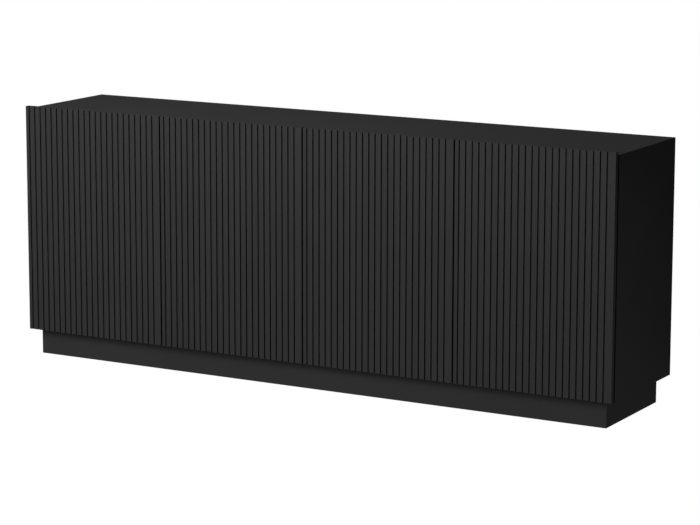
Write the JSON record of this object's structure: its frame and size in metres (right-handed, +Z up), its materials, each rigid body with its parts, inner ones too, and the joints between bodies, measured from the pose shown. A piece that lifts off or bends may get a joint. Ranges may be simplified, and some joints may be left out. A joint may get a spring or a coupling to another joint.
{
  "type": "sideboard buffet",
  "caption": "Long low matt black sideboard with vertically grooved doors on concealed hinges, push latches, adjustable shelves and a recessed plinth.",
  "frame": {"origin": "on the floor, under the middle of the bounding box", "axes": "+Z up, +X along the length to the right of someone facing the doors, +Y from the doors to the back"},
  "size_m": [2, 0.418, 0.7885],
  "materials": {
    "carcass_board": "matt black lacquered board, very fine grain",
    "door_board": "matt black lacquered board with milled grooves",
    "plinth_board": "matt black lacquered board",
    "back_board": "thin black hardboard, matt",
    "hinge_steel": "nickel-plated pressed steel, satin",
    "pin_steel": "nickel-plated steel, satin",
    "latch_plastic": "dark grey moulded plastic",
    "plunger_plastic": "mid grey moulded plastic"
  },
  "bodies": {
    "root": {"top_panel": "carcass_board", "bottom_panel": "carcass_board", "left_side_panel": "carcass_board", "right_side_panel": "carcass_board", "centre_partition": "carcass_board", "left_back_panel": "back_board", "right_back_panel": "back_board", "plinth_front_rail": "plinth_board", "plinth_back_rail": "plinth_board", "plinth_left_rail": "plinth_board", "plinth_right_rail": "plinth_board", "plinth_brace_1": "plinth_board", "plinth_brace_2": "plinth_board", "plinth_brace_3": "plinth_board", "left_shelf": "carcass_board", "right_shelf": "carcass_board", "left_shelf_pin_left_front": "pin_steel", "left_shelf_pin_left_back": "pin_steel", "left_shelf_pin_right_front": "pin_steel", "left_shelf_pin_right_back": "pin_steel", "right_shelf_pin_left_front": "pin_steel", "right_shelf_pin_left_back": "pin_steel", "right_shelf_pin_right_front": "pin_steel", "right_shelf_pin_right_back": "pin_steel", "door_1_lower_hinge_arm": "hinge_steel", "door_1_upper_hinge_arm": "hinge_steel", "door_1_latch_housing": "latch_plastic", "door_2_lower_hinge_arm": "hinge_steel", "door_2_upper_hinge_arm": "hinge_steel", "door_2_latch_housing": "latch_plastic", "door_3_lower_hinge_arm": "hinge_steel", "door_3_upper_hinge_arm": "hinge_steel", "door_3_latch_housing": "latch_plastic", "door_4_lower_hinge_arm": "hinge_steel", "door_4_upper_hinge_arm": "hinge_steel", "door_4_latch_housing": "latch_plastic"},
    "door_1": {"door_1": "door_board", "door_1_lower_hinge_cup": "hinge_steel", "door_1_upper_hinge_cup": "hinge_steel"},
    "door_1_links": {"door_1_lower_hinge_link": "hinge_steel", "door_1_upper_hinge_link": "hinge_steel"},
    "door_1_plunger": {"door_1_latch_plunger": "plunger_plastic"},
    "door_2": {"door_2": "door_board", "door_2_lower_hinge_cup": "hinge_steel", "door_2_upper_hinge_cup": "hinge_steel"},
    "door_2_links": {"door_2_lower_hinge_link": "hinge_steel", "door_2_upper_hinge_link": "hinge_steel"},
    "door_2_plunger": {"door_2_latch_plunger": "plunger_plastic"},
    "door_3": {"door_3": "door_board", "door_3_lower_hinge_cup": "hinge_steel", "door_3_upper_hinge_cup": "hinge_steel"},
    "door_3_links": {"door_3_lower_hinge_link": "hinge_steel", "door_3_upper_hinge_link": "hinge_steel"},
    "door_3_plunger": {"door_3_latch_plunger": "plunger_plastic"},
    "door_4": {"door_4": "door_board", "door_4_lower_hinge_cup": "hinge_steel", "door_4_upper_hinge_cup": "hinge_steel"},
    "door_4_links": {"door_4_lower_hinge_link": "hinge_steel", "door_4_upper_hinge_link": "hinge_steel"},
    "door_4_plunger": {"door_4_latch_plunger": "plunger_plastic"}
  },
  "joints": [
    {"name": "door_1_arm_pivot", "type": "hinge", "parent": "root", "child": "door_1_links", "pos_m": [-0.9664, -0.189, 0.43], "axis": [0, 0, -1], "range_deg": [-60, 0]},
    {"name": "door_1_cup_pivot", "type": "hinge", "parent": "door_1_links", "child": "door_1", "pos_m": [-0.9858, -0.1964, 0.43], "axis": [0, 0, -1], "range_deg": [0, 157.5]},
    {"name": "door_1_latch_press", "type": "slide", "parent": "root", "child": "door_1_plunger", "axis": [0, 1, 0], "range_m": [0, 0.0025], "stiffness_N_per_m": 400, "springref_m": -0.004},
    {"name": "door_2_arm_pivot", "type": "hinge", "parent": "root", "child": "door_2_links", "pos_m": [-0.0336, -0.189, 0.43], "axis": [0, 0, 1], "range_deg": [-50, 0]},
    {"name": "door_2_cup_pivot", "type": "hinge", "parent": "door_2_links", "child": "door_2", "pos_m": [-0.0142, -0.1964, 0.43], "axis": [0, 0, 1], "range_deg": [0, 135]},
    {"name": "door_2_latch_press", "type": "slide", "parent": "root", "child": "door_2_plunger", "axis": [0, 1, 0], "range_m": [0, 0.0025], "stiffness_N_per_m": 400, "springref_m": -0.004},
    {"name": "door_3_arm_pivot", "type": "hinge", "parent": "root", "child": "door_3_links", "pos_m": [0.0336, -0.189, 0.43], "axis": [0, 0, -1], "range_deg": [-50, 0]},
    {"name": "door_3_cup_pivot", "type": "hinge", "parent": "door_3_links", "child": "door_3", "pos_m": [0.0142, -0.1964, 0.43], "axis": [0, 0, -1], "range_deg": [0, 135]},
    {"name": "door_3_latch_press", "type": "slide", "parent": "root", "child": "door_3_plunger", "axis": [0, 1, 0], "range_m": [0, 0.0025], "stiffness_N_per_m": 400, "springref_m": -0.004},
    {"name": "door_4_arm_pivot", "type": "hinge", "parent": "root", "child": "door_4_links", "pos_m": [0.9664, -0.189, 0.43], "axis": [0, 0, 1], "range_deg": [-60, 0]},
    {"name": "door_4_cup_pivot", "type": "hinge", "parent": "door_4_links", "child": "door_4", "pos_m": [0.9858, -0.1964, 0.43], "axis": [0, 0, 1], "range_deg": [0, 157.5]},
    {"name": "door_4_latch_press", "type": "slide", "parent": "root", "child": "door_4_plunger", "axis": [0, 1, 0], "range_m": [0, 0.0025], "stiffness_N_per_m": 400, "springref_m": -0.004}
  ],
  "couplings": [
    {"joint": "door_1_arm_pivot", "follows": "door_1_cup_pivot", "ratio": -0.33333},
    {"joint": "door_2_arm_pivot", "follows": "door_2_cup_pivot", "ratio": -0.33333},
    {"joint": "door_3_arm_pivot", "follows": "door_3_cup_pivot", "ratio": -0.33333},
    {"joint": "door_4_arm_pivot", "follows": "door_4_cup_pivot", "ratio": -0.33333}
  ]
}
